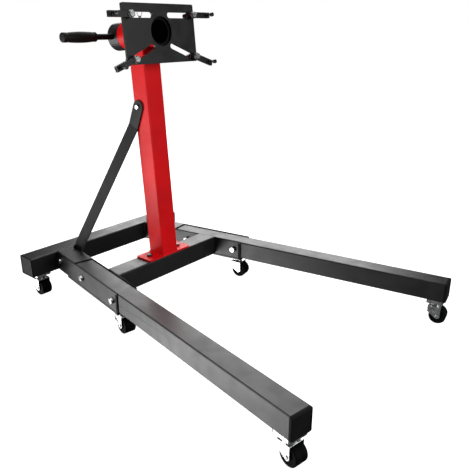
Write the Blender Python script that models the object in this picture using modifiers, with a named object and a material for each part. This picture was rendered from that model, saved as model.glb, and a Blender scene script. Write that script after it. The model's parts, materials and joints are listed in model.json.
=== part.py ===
"""Folding engine stand: a tube frame on six swivel casters, with a rotating slotted head on a leaning post.

Metres, +Z up. The floor is Z = 0. The legs point to -Y, the rear crossbeam is at +Y, and left is -X.
"""

import math

import bmesh
import bpy
from mathutils import Matrix, Vector

# Tubes
FRAME_TUBE = 0.066
FRAME_WALL = 0.0025
LEG_TUBE = 0.060
LEG_WALL = 0.0025
POST_TUBE = 0.065
POST_WALL = 0.003
TUBE_CORNER = 0.0035

# Base frame
GAP = 0.0003
CASTER_HEIGHT = 0.071
FRAME_BOTTOM = 0.075
FRAME_TOP = FRAME_BOTTOM + FRAME_TUBE
REAR_FACE_Y = 0.51856
REAR_BEAM_LENGTH = 0.648
REAR_CAP_LIP = 0.003
FRONT_BEAM_Y = REAR_FACE_Y - 0.280
RAIL_X = 0.193
SPLAY = math.radians(10.3)

# Distances along a rail, forward from the rear crossbeam
RAIL_LENGTH = 0.4176
SOCKET_START = 0.1372
FLOOR_PLATE_START = 0.0772
FLOOR_PLATE = 0.004
BRACE_FOOT_BOLT = 0.030
BRACE_FOOT_BOLT_Z = 0.1125
LEG_PIVOT = 0.192
LEG_LOCK = 0.389
LEG_BACK = 0.142
LEG_FRONT = 1.105
LEG_CAP_LIP = 0.008
MID_CASTER = 0.389
FRONT_CASTER = 1.0797
LEG_BOTTOM = FRAME_BOTTOM + FRAME_WALL + GAP
LEG_MIDDLE = LEG_BOTTOM + LEG_TUBE / 2
REAR_CASTER_X = 0.280

# Post, braces and head
LEAN = math.radians(4.1)
BASE_PLATE = (0.180, FRAME_TUBE, 0.005)
BASE_BOLT_X = 0.062
HEAD_HEIGHT = 0.6825
HEAD_REACH = 0.0848
HEAD_TILT = math.radians(1.2)
BRACE_WIDTH = 0.041
BRACE_THICKNESS = 0.005
BRACE_TILT = math.radians(23.5)
BRACE_BOLT_UP = 0.473
BRACE_BOLT_BACK = 0.0115
BRACE_UPPER_TAB = 0.066

# Rotating head. Distances back from the plate's front face
PLATE_SIZE = (0.272, 0.162)
PLATE_THICKNESS = 0.008
PLATE_DROP = 0.0064
PLATE_HOLE = 0.040
SLOT_WIDTH = 0.0155
HOUSING_FRONT = 0.020
HOUSING_BACK = 0.1544
HOUSING_RADIUS = 0.0405
HOUSING_BORE = 0.037
SPINDLE_RADIUS = 0.0365
SPINDLE_BORE = 0.033
FLANGE_RADIUS = 0.043
FLANGE_THICKNESS = 0.008
COLLAR_RADIUS = 0.0408
COLLAR_FRONT = 0.1549
COLLAR_BACK = 0.1984
INDEX_BACK = 0.0872
INDEX_HOLES = 8
PIN_RADIUS = 0.004
HANDLE_BACK = 0.1764
ROD_RADIUS = 0.0085
ROD_REACH = (0.030, 0.200)
GRIP_REACH = (0.102, 0.216)
GRIP_RADIUS = 0.0155

# Arms on the head
CLAMP_X = 0.1187
UPPER_CLAMP_Z = 0.0435
LOWER_CLAMP_Z = -0.0735
LOWER_SLOT_TILT = math.radians(21.5)
LOWER_ARM_TILT = math.radians(18.5)
ARM_LENGTH = 0.0732
ARM_TAIL = 0.013
ARM_HEIGHT = 0.016
ARM_THICKNESS = 0.010
ARM_BOSS_RADIUS = 0.011
ARM_BOSS = 0.0047
ARM_STUD = 0.0597

# Casters
WHEEL_RADIUS = 0.0255
WHEEL_WIDTH = 0.036
WHEEL_TRAIL = 0.013
CASTER_PLATE = 0.054
CASTER_PLATE_THICKNESS = 0.003
FORK_TOP = 0.0550

SIDES = {"left": -1, "right": 1}

for old in list(bpy.data.objects):
    bpy.data.objects.remove(old, do_unlink=True)


def new_collection(name):
    collection = bpy.data.collections.new(name)
    bpy.context.scene.collection.children.link(collection)
    return collection


parts = new_collection("engine_stand")
cutters = new_collection("cutters")


def new_material(name, colour, roughness, metallic):
    material = bpy.data.materials.new(name)
    material.use_nodes = True
    shader = material.node_tree.nodes["Principled BSDF"]
    shader.inputs["Base Color"].default_value = (*colour, 1.0)
    shader.inputs["Roughness"].default_value = roughness
    shader.inputs["Metallic"].default_value = metallic
    return material


BLACK = new_material("black_powder_coat", (0.018, 0.018, 0.019), 0.35, 0.0)
RED = new_material("red_powder_coat", (0.62, 0.012, 0.016), 0.30, 0.0)
ZINC = new_material("zinc_plate", (0.72, 0.72, 0.70), 0.30, 1.0)
OXIDE = new_material("black_oxide", (0.012, 0.012, 0.012), 0.40, 0.6)
PLASTIC = new_material("black_plastic", (0.012, 0.012, 0.013), 0.55, 0.0)
RUBBER = new_material("wheel_rubber", (0.010, 0.010, 0.010), 0.60, 0.0)

# A sideways shape is drawn in the XY plane and turned so that its depth runs along the named axis.
TURNS = {
    "X": Matrix(((0, 0, 1), (1, 0, 0), (0, 1, 0))).to_4x4(),
    "Y": Matrix(((1, 0, 0), (0, 0, -1), (0, 1, 0))).to_4x4(),
    "Z": Matrix.Identity(4),
}


def evaluated_mesh(obj, name):
    """The object's mesh with its modifiers applied."""
    bpy.context.view_layer.update()
    graph = bpy.context.evaluated_depsgraph_get()
    mesh = bpy.data.meshes.new_from_object(obj.evaluated_get(graph))
    mesh.name = name
    return mesh


def smooth(mesh):
    mesh.shade_smooth()
    mesh.set_sharp_from_angle(angle=math.radians(35))
    return mesh


def box(name, size):
    bm = bmesh.new()
    bmesh.ops.create_cube(bm, size=1.0)
    bmesh.ops.scale(bm, vec=Vector(size), verts=bm.verts)
    mesh = bpy.data.meshes.new(name)
    bm.to_mesh(mesh)
    bm.free()
    return mesh


def cylinder(name, radius, depth, axis="Z", segments=24):
    bm = bmesh.new()
    bmesh.ops.create_cone(
        bm, cap_ends=True, segments=segments, radius1=radius, radius2=radius, depth=depth
    )
    bmesh.ops.transform(bm, matrix=TURNS[axis], verts=bm.verts)
    mesh = bpy.data.meshes.new(name)
    bm.to_mesh(mesh)
    bm.free()
    return mesh


def extruded(name, outlines, depth, axis="Z"):
    """A flat shape with holes, given as closed outlines, as thick as depth and centred on its plane."""
    curve = bpy.data.curves.new(name, "CURVE")
    curve.dimensions = "2D"
    curve.fill_mode = "BOTH"
    curve.extrude = depth / 2
    for outline in outlines:
        spline = curve.splines.new("POLY")
        spline.points.add(len(outline) - 1)
        for point, (u, v) in zip(spline.points, outline):
            point.co = (u, v, 0.0, 1.0)
        spline.use_cyclic_u = True
    drawn = bpy.data.objects.new(name, curve)
    cutters.objects.link(drawn)
    mesh = evaluated_mesh(drawn, name)
    bm = bmesh.new()
    bm.from_mesh(mesh)
    bmesh.ops.remove_doubles(bm, verts=bm.verts, dist=1e-6)
    bmesh.ops.transform(bm, matrix=TURNS[axis], verts=bm.verts)
    bm.to_mesh(mesh)
    bm.free()
    bpy.data.objects.remove(drawn)
    return smooth(mesh)


def turned(name, profile, axis="Z", steps=36):
    """A closed profile of (radius, height) points, going down its outer side, turned about an axis."""
    mesh = bpy.data.meshes.new(name)
    edges = [(i, (i + 1) % len(profile)) for i in range(len(profile))]
    edges = [(a, b) for a, b in edges if profile[a][0] or profile[b][0]]
    mesh.from_pydata([(radius, 0.0, height) for radius, height in profile], edges, [])
    lathe = bpy.data.objects.new(name, mesh)
    cutters.objects.link(lathe)
    screw = lathe.modifiers.new("turn", "SCREW")
    screw.steps = screw.render_steps = steps
    screw.use_merge_vertices = True
    screw.merge_threshold = 1e-5
    result = evaluated_mesh(lathe, name)
    result.transform(TURNS[axis])
    bpy.data.objects.remove(lathe)
    return smooth(result)


def arc(centre, radius, start, end, steps):
    """Points on an arc, with angles in degrees."""
    angles = [math.radians(start + (end - start) * i / steps) for i in range(steps + 1)]
    return [(centre[0] + radius * math.cos(a), centre[1] + radius * math.sin(a)) for a in angles]


def circle(radius, centre=(0.0, 0.0), steps=12):
    return arc(centre, radius, 0, 360, steps)[:-1]


def rounded_rectangle(width, height, radius, centre=(0.0, 0.0), steps=2):
    points = []
    for quarter, (sx, sy) in enumerate(((1, 1), (-1, 1), (-1, -1), (1, -1))):
        corner = (centre[0] + sx * (width / 2 - radius), centre[1] + sy * (height / 2 - radius))
        points += arc(corner, radius, 90 * quarter, 90 * quarter + 90, steps)
    return points


def slot(start, end, width, steps=6):
    """A slot with round ends, between the centres of its two ends."""
    turn = math.degrees(math.atan2(end[1] - start[1], end[0] - start[0]))
    return arc(end, width / 2, turn - 90, turn + 90, steps) + arc(
        start, width / 2, turn + 90, turn + 270, steps
    )


def tube(name, side, wall, length, axis):
    outside = rounded_rectangle(side, side, TUBE_CORNER)
    inside = rounded_rectangle(side - 2 * wall, side - 2 * wall, TUBE_CORNER - wall)
    return extruded(name, [outside, inside], length, axis)


def add_empty(name, location, rotation=(0.0, 0.0, 0.0), parent=None):
    empty = bpy.data.objects.new(name, None)
    empty.location = location
    empty.rotation_euler = rotation
    empty.parent = parent
    parts.objects.link(empty)
    return empty


def add_part(name, mesh, material, parent=None, location=(0.0, 0.0, 0.0), rotation=(0.0, 0.0, 0.0)):
    obj = bpy.data.objects.new(name, mesh)
    if not mesh.materials:
        mesh.materials.append(material)
    obj.location = location
    obj.rotation_euler = rotation
    obj.parent = parent
    parts.objects.link(obj)
    return obj


def shape(target, operation, mesh, location=(0.0, 0.0, 0.0), rotation=(0.0, 0.0, 0.0), parent=None):
    """Cuts the mesh from the target or joins it on, placed in the target's own frame or its parent's."""
    tool = bpy.data.objects.new(f"{target.name}_{mesh.name}", mesh)
    tool.location = location
    tool.rotation_euler = rotation
    tool.parent = parent or target
    tool.hide_render = True
    tool.display_type = "WIRE"
    cutters.objects.link(tool)
    step = target.modifiers.new(mesh.name, "BOOLEAN")
    step.operation = operation
    step.solver = "EXACT"
    step.object = tool


def cut(target, mesh, **place):
    shape(target, "DIFFERENCE", mesh, **place)


def join(target, mesh, **place):
    shape(target, "UNION", mesh, **place)


def pattern(name, mesh):
    """A hidden object whose finished mesh several parts share."""
    obj = bpy.data.objects.new(f"{name}_pattern", mesh)
    obj.hide_render = True
    obj.display_type = "WIRE"
    cutters.objects.link(obj)
    return obj


def hex_bolt(name, radius, flats, head, grip, nut=0.0, tail=0.0, washer=0.0):
    """A bolt along Z. The face under its head is at Z = 0, and its nut's face is at -grip."""
    corner = flats / math.sqrt(3)
    lap = 0.0004
    length = grip + washer + nut + tail + lap
    bolt = pattern(name, cylinder(name, radius, length, segments=12))
    bolt.data.transform(Matrix.Translation((0, 0, lap - length / 2)))
    washer_disc = cylinder(f"{name}_washer", flats * 0.63, washer + lap, segments=16)
    hexagon = cylinder(f"{name}_head", corner, head, segments=6)
    join(bolt, hexagon, location=(0, 0, washer + head / 2))
    if washer:
        join(bolt, washer_disc, location=(0, 0, (washer + lap) / 2))
    if nut:
        hexagon = cylinder(f"{name}_nut", corner, nut, segments=6)
        join(bolt, hexagon, location=(0, 0, -grip - washer - nut / 2))
    if nut and washer:
        join(bolt, washer_disc, location=(0, 0, -grip - (washer + lap) / 2))
    return smooth(evaluated_mesh(bolt, name))


def rail_frame(side):
    """Local +X runs forward along the rail, and local +Y is outward times the side's sign."""
    return Vector((side * RAIL_X, REAR_FACE_Y, 0.0)), (0.0, 0.0, side * SPLAY - math.pi / 2)


def make_rear_crossbeam():
    middle_y = REAR_FACE_Y + FRAME_TUBE / 2
    length = REAR_BEAM_LENGTH - 2 * (REAR_CAP_LIP + GAP)
    add_part(
        "rear_crossbeam",
        tube("rear_crossbeam", FRAME_TUBE, FRAME_WALL, length, "X"),
        BLACK,
        location=(0, middle_y, FRAME_BOTTOM + FRAME_TUBE / 2),
    )
    for label, side in SIDES.items():
        cap = add_part(
            f"rear_beam_cap_{label}",
            extruded(
                "rear_beam_cap",
                [rounded_rectangle(FRAME_TUBE, FRAME_TUBE, TUBE_CORNER)],
                REAR_CAP_LIP,
                "X",
            ),
            PLASTIC,
            location=(
                side * (REAR_BEAM_LENGTH - REAR_CAP_LIP) / 2,
                middle_y,
                FRAME_BOTTOM + FRAME_TUBE / 2,
            ),
        )
        inside = FRAME_TUBE - 2 * (FRAME_WALL + GAP)
        join(cap, box("plug", (0.018, inside - 0.002, inside - 0.002)), location=(-side * 0.009, 0, 0))


def make_front_crossbeam():
    beam = add_part(
        "front_crossbeam",
        tube("front_crossbeam", FRAME_TUBE, FRAME_WALL, 0.56, "X"),
        BLACK,
        location=(0, FRONT_BEAM_Y, FRAME_BOTTOM + FRAME_TUBE / 2),
    )
    trim = box("end_trim", (0.4, 0.2, 0.1))
    hole = cylinder("bolt_hole", 0.0053, 0.1, segments=12)
    for label, side in SIDES.items():
        inner_face = -FRAME_TUBE / 2 - GAP
        cut(
            beam,
            trim,
            location=(0.28, side * (inner_face + 0.1), FRAME_BOTTOM + FRAME_TUBE / 2),
            parent=frames[label],
        )
        cut(beam, hole, location=(side * BASE_BOLT_X, 0, 0))


def make_side_rail(label, side):
    """A tube whose roof is cut away to make the open socket, with a floor plate welded under it."""
    frame = frames[label]
    start = -0.03
    middle_z = FRAME_BOTTOM + FRAME_TUBE / 2
    rail = add_part(
        f"side_rail_{label}",
        tube("side_rail", FRAME_TUBE, FRAME_WALL, RAIL_LENGTH - start, "X"),
        BLACK,
        frame,
        ((RAIL_LENGTH + start) / 2, 0, middle_z),
    )
    plate_length = RAIL_LENGTH - FLOOR_PLATE_START
    lap = 0.001
    floor_plate = box("floor_plate", (plate_length, FRAME_TUBE, FLOOR_PLATE + lap))
    join(
        rail,
        floor_plate,
        location=(
            FLOOR_PLATE_START + plate_length / 2,
            0,
            FRAME_BOTTOM - (FLOOR_PLATE - lap) / 2,
        ),
        parent=frame,
    )
    trim = box("rear_trim", (0.4, 0.2, 0.2))
    cut(rail, trim, location=(side * RAIL_X, REAR_FACE_Y - GAP + 0.1, middle_z), parent=world)
    inside = FRAME_TUBE - 2 * FRAME_WALL
    roof_length = RAIL_LENGTH - SOCKET_START + 0.01
    cut(
        rail,
        box("socket_roof", (roof_length, inside, 0.04)),
        location=(SOCKET_START + roof_length / 2, 0, FRAME_TOP),
        parent=frame,
    )
    swing_back, swing_front = LEG_PIVOT - 0.052, LEG_PIVOT + 0.034
    cut(
        rail,
        box("swing_opening", (swing_front - swing_back, inside, 0.04)),
        location=((swing_back + swing_front) / 2, 0, FRAME_BOTTOM - FLOOR_PLATE),
        parent=frame,
    )
    big_hole = cylinder("leg_bolt_hole", 0.0063, 0.1, "Y", 12)
    for distance in (LEG_PIVOT, LEG_LOCK):
        cut(rail, big_hole, location=(distance, 0, LEG_MIDDLE), parent=frame)
    small_hole = cylinder("brace_bolt_hole", 0.0043, 0.1, "Y", 12)
    cut(rail, small_hole, location=(BRACE_FOOT_BOLT, 0, BRACE_FOOT_BOLT_Z), parent=frame)


def make_leg(label, side):
    pivot = add_empty(f"leg_pivot_{label}", (LEG_PIVOT, 0, LEG_MIDDLE), parent=frames[label])
    leg = add_part(
        f"leg_{label}",
        tube("leg", LEG_TUBE, LEG_WALL, LEG_FRONT - LEG_BACK, "X"),
        BLACK,
        pivot,
    )
    leg.data.transform(Matrix.Translation(((LEG_FRONT + LEG_BACK) / 2 - LEG_PIVOT, 0, 0)))
    hole = cylinder("leg_bolt_hole", 0.0063, 0.1, "Y", 12)
    for distance in (0.0, LEG_LOCK - LEG_PIVOT):
        cut(leg, hole, location=(distance, 0, 0))
    cap = add_part(
        f"leg_cap_{label}",
        extruded(
            "leg_cap", [rounded_rectangle(LEG_TUBE, LEG_TUBE, TUBE_CORNER)], LEG_CAP_LIP, "X"
        ),
        PLASTIC,
        pivot,
        (LEG_FRONT - LEG_PIVOT + GAP + LEG_CAP_LIP / 2, 0, 0),
    )
    inside = LEG_TUBE - 2 * (LEG_WALL + GAP) - 0.002
    join(cap, box("plug", (0.024, inside, inside)), location=(-0.012, 0, 0))
    return pivot


def make_leg_bolts(label, side):
    """The pivot bolt runs right through. The lock bolt is its head end and its nut end, clear of the leg."""
    head, nut, tail = 0.0075, 0.010, 0.004
    half_width = FRAME_TUBE / 2 + GAP
    turn = (-side * math.pi / 2, 0.0, 0.0)
    through = hex_bolt("pivot_bolt", 0.006, 0.018, head, 2 * half_width, nut, tail)
    place = (LEG_PIVOT, side * half_width, LEG_MIDDLE)
    add_part(f"leg_pivot_bolt_{label}", through, ZINC, frames[label], place, turn)
    head_end = hex_bolt("lock_bolt_head", 0.006, 0.018, head, FRAME_WALL)
    place = (LEG_LOCK, side * half_width, LEG_MIDDLE)
    add_part(f"leg_lock_bolt_head_{label}", head_end, ZINC, frames[label], place, turn)
    nut_end = hex_bolt("lock_bolt_nut", 0.006, 0.018, nut, FRAME_WALL)
    place = (LEG_LOCK, -side * half_width, LEG_MIDDLE)
    back = (side * math.pi / 2, 0.0, 0.0)
    add_part(f"leg_lock_bolt_nut_{label}", nut_end, ZINC, frames[label], place, back)


def head_point(back):
    """A point on the head's axis in the post's frame, at a distance back from the plate's front face."""
    behind = back - HEAD_REACH
    return (0, behind * math.cos(HEAD_TILT), HEAD_HEIGHT - behind * math.sin(HEAD_TILT))


def make_post():
    width, depth, thickness = BASE_PLATE
    base = add_empty("post_foot", (0, FRONT_BEAM_Y, FRAME_TOP + GAP + thickness), (-LEAN, 0, 0))
    post = add_part(
        "post",
        extruded(
            "post",
            [rounded_rectangle(width, depth, 0.004)]
            + [circle(0.0053, (side * BASE_BOLT_X, 0)) for side in SIDES.values()],
            thickness,
        ),
        RED,
        location=(0, FRONT_BEAM_Y, FRAME_TOP + GAP + thickness / 2),
    )
    length = HEAD_HEIGHT + thickness / 2
    upright = tube("upright", POST_TUBE, POST_WALL, length, "Z")
    join(post, upright, location=(0, 0, HEAD_HEIGHT / 2 - thickness / 4), parent=base)
    saddle = cylinder("saddle", HOUSING_RADIUS + 2 * GAP, 0.2, "Y", 36)
    place = head_point(HEAD_REACH)
    cut(post, saddle, location=place, rotation=(-HEAD_TILT, 0, 0), parent=base)
    hole = cylinder("brace_bolt_hole", 0.0043, 0.1, "X", 12)
    cut(post, hole, location=(0, BRACE_BOLT_BACK, BRACE_BOLT_UP), parent=base)
    return base


def make_base_bolts():
    grip = BASE_PLATE[2] + FRAME_TUBE + 3 * GAP
    bolt = hex_bolt("base_bolt", 0.005, 0.016, 0.0065, grip, nut=0.008, tail=0.003)
    for label, side in SIDES.items():
        top = FRAME_TOP + BASE_PLATE[2] + 2 * GAP
        place = (side * BASE_BOLT_X, FRONT_BEAM_Y, top)
        add_part(f"post_base_bolt_{label}", bolt, ZINC, location=place)


def brace_bolt_height():
    """World Y and Z of the bolt that holds both braces to the post."""
    foot_z = FRAME_TOP + GAP + BASE_PLATE[2]
    y = FRONT_BEAM_Y + BRACE_BOLT_UP * math.sin(LEAN) + BRACE_BOLT_BACK * math.cos(LEAN)
    z = foot_z + BRACE_BOLT_UP * math.cos(LEAN) - BRACE_BOLT_BACK * math.sin(LEAN)
    return y, z


def rail_point(side, forward, outward, z):
    x = side * (RAIL_X + forward * math.sin(SPLAY) + outward * math.cos(SPLAY))
    y = REAR_FACE_Y - forward * math.cos(SPLAY) + outward * math.sin(SPLAY)
    return Vector((x, y, z))


def brace_sections(side):
    """Four corners at each station down the bar: rear edge and front edge, on the outer and inner face."""
    bolt_y, bolt_z = brace_bolt_height()
    down = Vector((0, math.sin(BRACE_TILT), -math.cos(BRACE_TILT)))
    across = Vector((0, math.cos(BRACE_TILT), math.sin(BRACE_TILT)))
    half = BRACE_WIDTH / 2
    inner_x = side * (POST_TUBE / 2 + GAP)
    outer_x = inner_x + side * BRACE_THICKNESS
    stations = [(-half * math.sin(math.radians(a)), half * math.cos(math.radians(a))) for a in (75, 50, 25, 0)]
    stations.append((BRACE_UPPER_TAB, half))
    sections = []
    for along, reach in stations:
        middle = Vector((0, bolt_y, bolt_z)) + along * down
        rear, front = middle + reach * across, middle - reach * across
        sections.append(
            [Vector((x, edge.y, edge.z)) for edge, x in ((rear, outer_x), (front, outer_x))]
            + [Vector((x, edge.y, edge.z)) for edge, x in ((front, inner_x), (rear, inner_x))]
        )
    outward = -FRAME_TUBE / 2 - GAP
    inward = outward - BRACE_THICKNESS
    rear_s, front_s = BRACE_FOOT_BOLT - half, BRACE_FOOT_BOLT + half
    for rear_z, front_z in ((0.157, 0.136), (0.094, 0.094)):
        sections.append(
            [rail_point(side, rear_s, outward, rear_z), rail_point(side, front_s, outward, front_z)]
            + [rail_point(side, front_s, inward, front_z), rail_point(side, rear_s, inward, rear_z)]
        )
    return sections


def make_brace(label, side):
    """A flat bar with a bend near each end, so that it lies on the post above and on the rail below."""
    bm = bmesh.new()
    rings = [[bm.verts.new(corner) for corner in section] for section in brace_sections(side)]
    for upper, lower in zip(rings, rings[1:]):
        for i in range(4):
            bm.faces.new((upper[i], upper[(i + 1) % 4], lower[(i + 1) % 4], lower[i]))
    bm.faces.new(rings[0])
    bm.faces.new(rings[-1])
    bmesh.ops.recalc_face_normals(bm, faces=bm.faces)
    mesh = bpy.data.meshes.new(f"brace_{label}")
    bm.to_mesh(mesh)
    bm.free()
    brace = add_part(f"brace_{label}", mesh, BLACK)
    hole_x = cylinder("brace_top_hole", 0.0043, 0.04, "X", 12)
    bolt_y, bolt_z = brace_bolt_height()
    cut(brace, hole_x, location=(side * POST_TUBE / 2, bolt_y, bolt_z))
    hole_y = cylinder("brace_foot_hole", 0.0043, 0.04, "Y", 12)
    place = (BRACE_FOOT_BOLT, -side * FRAME_TUBE / 2, BRACE_FOOT_BOLT_Z)
    cut(brace, hole_y, location=place, parent=frames[label])


def make_brace_bolts():
    head, nut, tail = 0.0055, 0.0065, 0.003
    reach = POST_TUBE / 2 + BRACE_THICKNESS + 2 * GAP
    bolt = hex_bolt("brace_top_bolt", 0.004, 0.013, head, 2 * reach, nut, tail)
    bolt_y, bolt_z = brace_bolt_height()
    turn = (0, -math.pi / 2, 0)
    add_part("brace_top_bolt", bolt, ZINC, location=(-reach, bolt_y, bolt_z), rotation=turn)
    grip = FRAME_TUBE + BRACE_THICKNESS + 3 * GAP
    bolt = hex_bolt("brace_foot_bolt", 0.004, 0.013, head, grip, nut, tail)
    for label, side in SIDES.items():
        place = (BRACE_FOOT_BOLT, side * (FRAME_TUBE / 2 + GAP), BRACE_FOOT_BOLT_Z)
        turn = (-side * math.pi / 2, 0, 0)
        add_part(f"brace_foot_bolt_{label}", bolt, ZINC, frames[label], place, turn)


def ring(outer, inner, start, end):
    """A closed profile for a ring whose axis runs along Y, from start to end behind the plate's front."""
    return [(outer, -start), (outer, -end), (inner, -end), (inner, -start)]


def make_housing(head):
    housing = add_part(
        "head_housing",
        turned("head_housing", ring(HOUSING_RADIUS, HOUSING_BORE, HOUSING_FRONT, HOUSING_BACK), "Y"),
        RED,
        head,
    )
    boss = cylinder("pin_boss", 0.007, 0.004, segments=16)
    join(housing, boss, location=(0, INDEX_BACK, HOUSING_RADIUS - 0.0005))
    bore = cylinder("pin_bore", PIN_RADIUS + GAP, 0.02, segments=16)
    cut(housing, bore, location=(0, INDEX_BACK, HOUSING_RADIUS))


def make_lock_pin(head):
    """At rest the pin is drawn up, with its tip inside the housing's wall and clear of the spindle."""
    tip, top = 0.0378, 0.0505
    pin = add_part(
        "lock_pin",
        cylinder("lock_pin", PIN_RADIUS, top - tip, segments=16),
        ZINC,
        head,
        (0, INDEX_BACK, (tip + top) / 2),
    )
    bm = bmesh.new()
    loop_radius, wire = 0.009, 0.0011
    start = Matrix.Translation((loop_radius, 0, 0)) @ Matrix.Rotation(math.pi / 2, 4, "X")
    bmesh.ops.create_circle(bm, segments=6, radius=wire, matrix=start)
    bmesh.ops.spin(
        bm,
        geom=bm.verts[:] + bm.edges[:],
        cent=(0, 0, 0),
        axis=(0, 0, 1),
        angle=math.tau,
        steps=16,
        use_merge=True,
    )
    bmesh.ops.recalc_face_normals(bm, faces=bm.faces)
    loop = bpy.data.meshes.new("pull_ring")
    bm.to_mesh(loop)
    bm.free()
    ring_middle = (top - tip) / 2 - 0.002 + loop_radius
    join(pin, loop, location=(0, 0, ring_middle), rotation=(math.pi / 2, 0, 0))


def make_spindle(turning):
    front = PLATE_THICKNESS + GAP
    flange_back = front + FLANGE_THICKNESS
    profile = [
        (FLANGE_RADIUS, -front),
        (FLANGE_RADIUS, -flange_back),
        (SPINDLE_RADIUS, -flange_back),
        (SPINDLE_RADIUS, -COLLAR_BACK),
        (SPINDLE_BORE, -COLLAR_BACK),
        (SPINDLE_BORE, -front),
    ]
    spindle = add_part("head_spindle", turned("head_spindle", profile, "Y"), BLACK, turning)
    index_hole = cylinder("index_hole", PIN_RADIUS + GAP, 0.1, segments=16)
    for i in range(INDEX_HOLES // 2):
        turn = i * math.tau / INDEX_HOLES
        cut(spindle, index_hole, location=(0, INDEX_BACK, 0), rotation=(0, turn, 0))
    rod_hole = cylinder("rod_hole", ROD_RADIUS + GAP, 0.06, "X", 16)
    cut(spindle, rod_hole, location=(-0.045, HANDLE_BACK, 0))
    profile = ring(COLLAR_RADIUS, SPINDLE_RADIUS + GAP, COLLAR_FRONT, COLLAR_BACK)
    collar = add_part("rear_collar", turned("rear_collar", profile, "Y"), BLACK, turning)
    cut(collar, rod_hole, location=(-0.045, HANDLE_BACK, 0))


def make_handle(turning):
    start, end = ROD_REACH
    rod = cylinder("handle_rod", ROD_RADIUS, end - start, "X", 20)
    place = (-(start + end) / 2, HANDLE_BACK, 0)
    add_part("handle_rod", smooth(rod), OXIDE, turning, place)
    start, end = GRIP_REACH
    length = end - start
    bore = ROD_RADIUS + GAP
    bore_end = -(ROD_REACH[1] - start + GAP)
    neck, cap = 0.0130, 0.0138
    barrel = [
        (neck + (GRIP_RADIUS - neck) * math.sin(math.pi * i / 6), -0.006 - (length - 0.022) * i / 6)
        for i in range(7)
    ]
    profile = (
        [(neck - 0.001, 0.0), (cap, -0.0015), (cap, -0.005)]
        + barrel
        + [(cap, -length + 0.0145), (cap, -length + 0.002), (cap - 0.002, -length)]
        + [(0.0, -length), (0.0, bore_end), (bore, bore_end), (bore, 0.0)]
    )
    mesh = turned("handle_grip", profile, "Z", 20)
    mesh.transform(Matrix.Rotation(math.pi / 2, 4, "Y"))
    add_part("handle_grip", mesh, PLASTIC, turning, (-start, HANDLE_BACK, 0))


def lower_slot_point(along):
    """A point on the right lower slot's middle line, measured outward from the clamp bolt."""
    x = CLAMP_X + along * math.cos(LOWER_SLOT_TILT)
    return x, LOWER_CLAMP_Z - along * math.sin(LOWER_SLOT_TILT)


def make_head_plate(turning):
    width, height = PLATE_SIZE
    outlines = [rounded_rectangle(width, height, 0.004, (0, -PLATE_DROP)), circle(PLATE_HOLE, steps=36)]
    for side in SIDES.values():
        upper_ends = ((0.0358, UPPER_CLAMP_Z), (CLAMP_X + 0.002, UPPER_CLAMP_Z))
        lower_ends = (lower_slot_point(-0.0876), lower_slot_point(0.002))
        for start, end in (upper_ends, lower_ends):
            outlines.append(slot((side * start[0], start[1]), (side * end[0], end[1]), SLOT_WIDTH))
    plate = extruded("head_plate", outlines, PLATE_THICKNESS, "Y")
    add_part("head_plate", plate, BLACK, turning, (0, PLATE_THICKNESS / 2, 0))


def arm_mesh():
    """The bar points along +X from the clamp bolt, and its stud points forward."""
    half = ARM_HEIGHT / 2
    outline = [(ARM_LENGTH, -half), (ARM_LENGTH, half)] + arc((-ARM_TAIL + half, 0), half, 90, 270, 8)
    arm = pattern("arm", extruded("arm_bar", [outline], ARM_THICKNESS, "Y"))
    lap = 0.001
    for name, radius, start, length, along in (
        ("clamp_boss", ARM_BOSS_RADIUS, -ARM_THICKNESS - ARM_BOSS, ARM_BOSS + lap, 0.0),
        ("stud_sleeve", 0.0065, -lap, 0.007, ARM_STUD),
        ("stud_shank", 0.003, 0.005, 0.014, ARM_STUD),
        ("stud_knob", 0.0058, 0.018, 0.008, ARM_STUD),
    ):
        piece = cylinder(name, radius, length, "Y", 16)
        join(arm, piece, location=(along, -ARM_THICKNESS / 2 - start - length / 2, 0))
    cut(arm, cylinder("clamp_hole", 0.0064, 0.06, "Y", 14))
    return smooth(evaluated_mesh(arm, "mounting_arm"))


def make_arms(turning):
    mesh = arm_mesh()
    arm_back = GAP + ARM_BOSS
    grip = PLATE_THICKNESS + arm_back + ARM_THICKNESS + 2 * GAP
    bolt = hex_bolt("clamp_bolt", 0.006, 0.017, 0.0065, grip, nut=0.010, tail=0.004, washer=0.002)
    heights = {"upper": (UPPER_CLAMP_Z, 0.0), "lower": (LOWER_CLAMP_Z, LOWER_ARM_TILT)}
    for level, (z, tilt) in heights.items():
        for label, side in SIDES.items():
            clamp = add_empty(f"clamp_{level}_{label}", (side * CLAMP_X, 0, z), parent=turning)
            turn = tilt if side > 0 else math.pi - tilt
            place = (0, -arm_back - ARM_THICKNESS / 2, 0)
            add_part(f"arm_{level}_{label}", mesh, BLACK, clamp, place, (0, turn, 0))
            place = (0, -arm_back - ARM_THICKNESS - GAP, 0)
            add_part(f"clamp_bolt_{level}_{label}", bolt, ZINC, clamp, place, (math.pi / 2, 0, 0))


def make_head(base):
    """The head's frame has its origin where its axis meets the plate's front face, and +Y runs back."""
    head = add_empty("head_axis", head_point(0.0), (-HEAD_TILT, 0, 0), base)
    turning = add_empty("head_turn", (0, 0, 0), parent=head)
    make_housing(head)
    make_lock_pin(head)
    make_spindle(turning)
    make_handle(turning)
    make_head_plate(turning)
    make_arms(turning)


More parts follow.
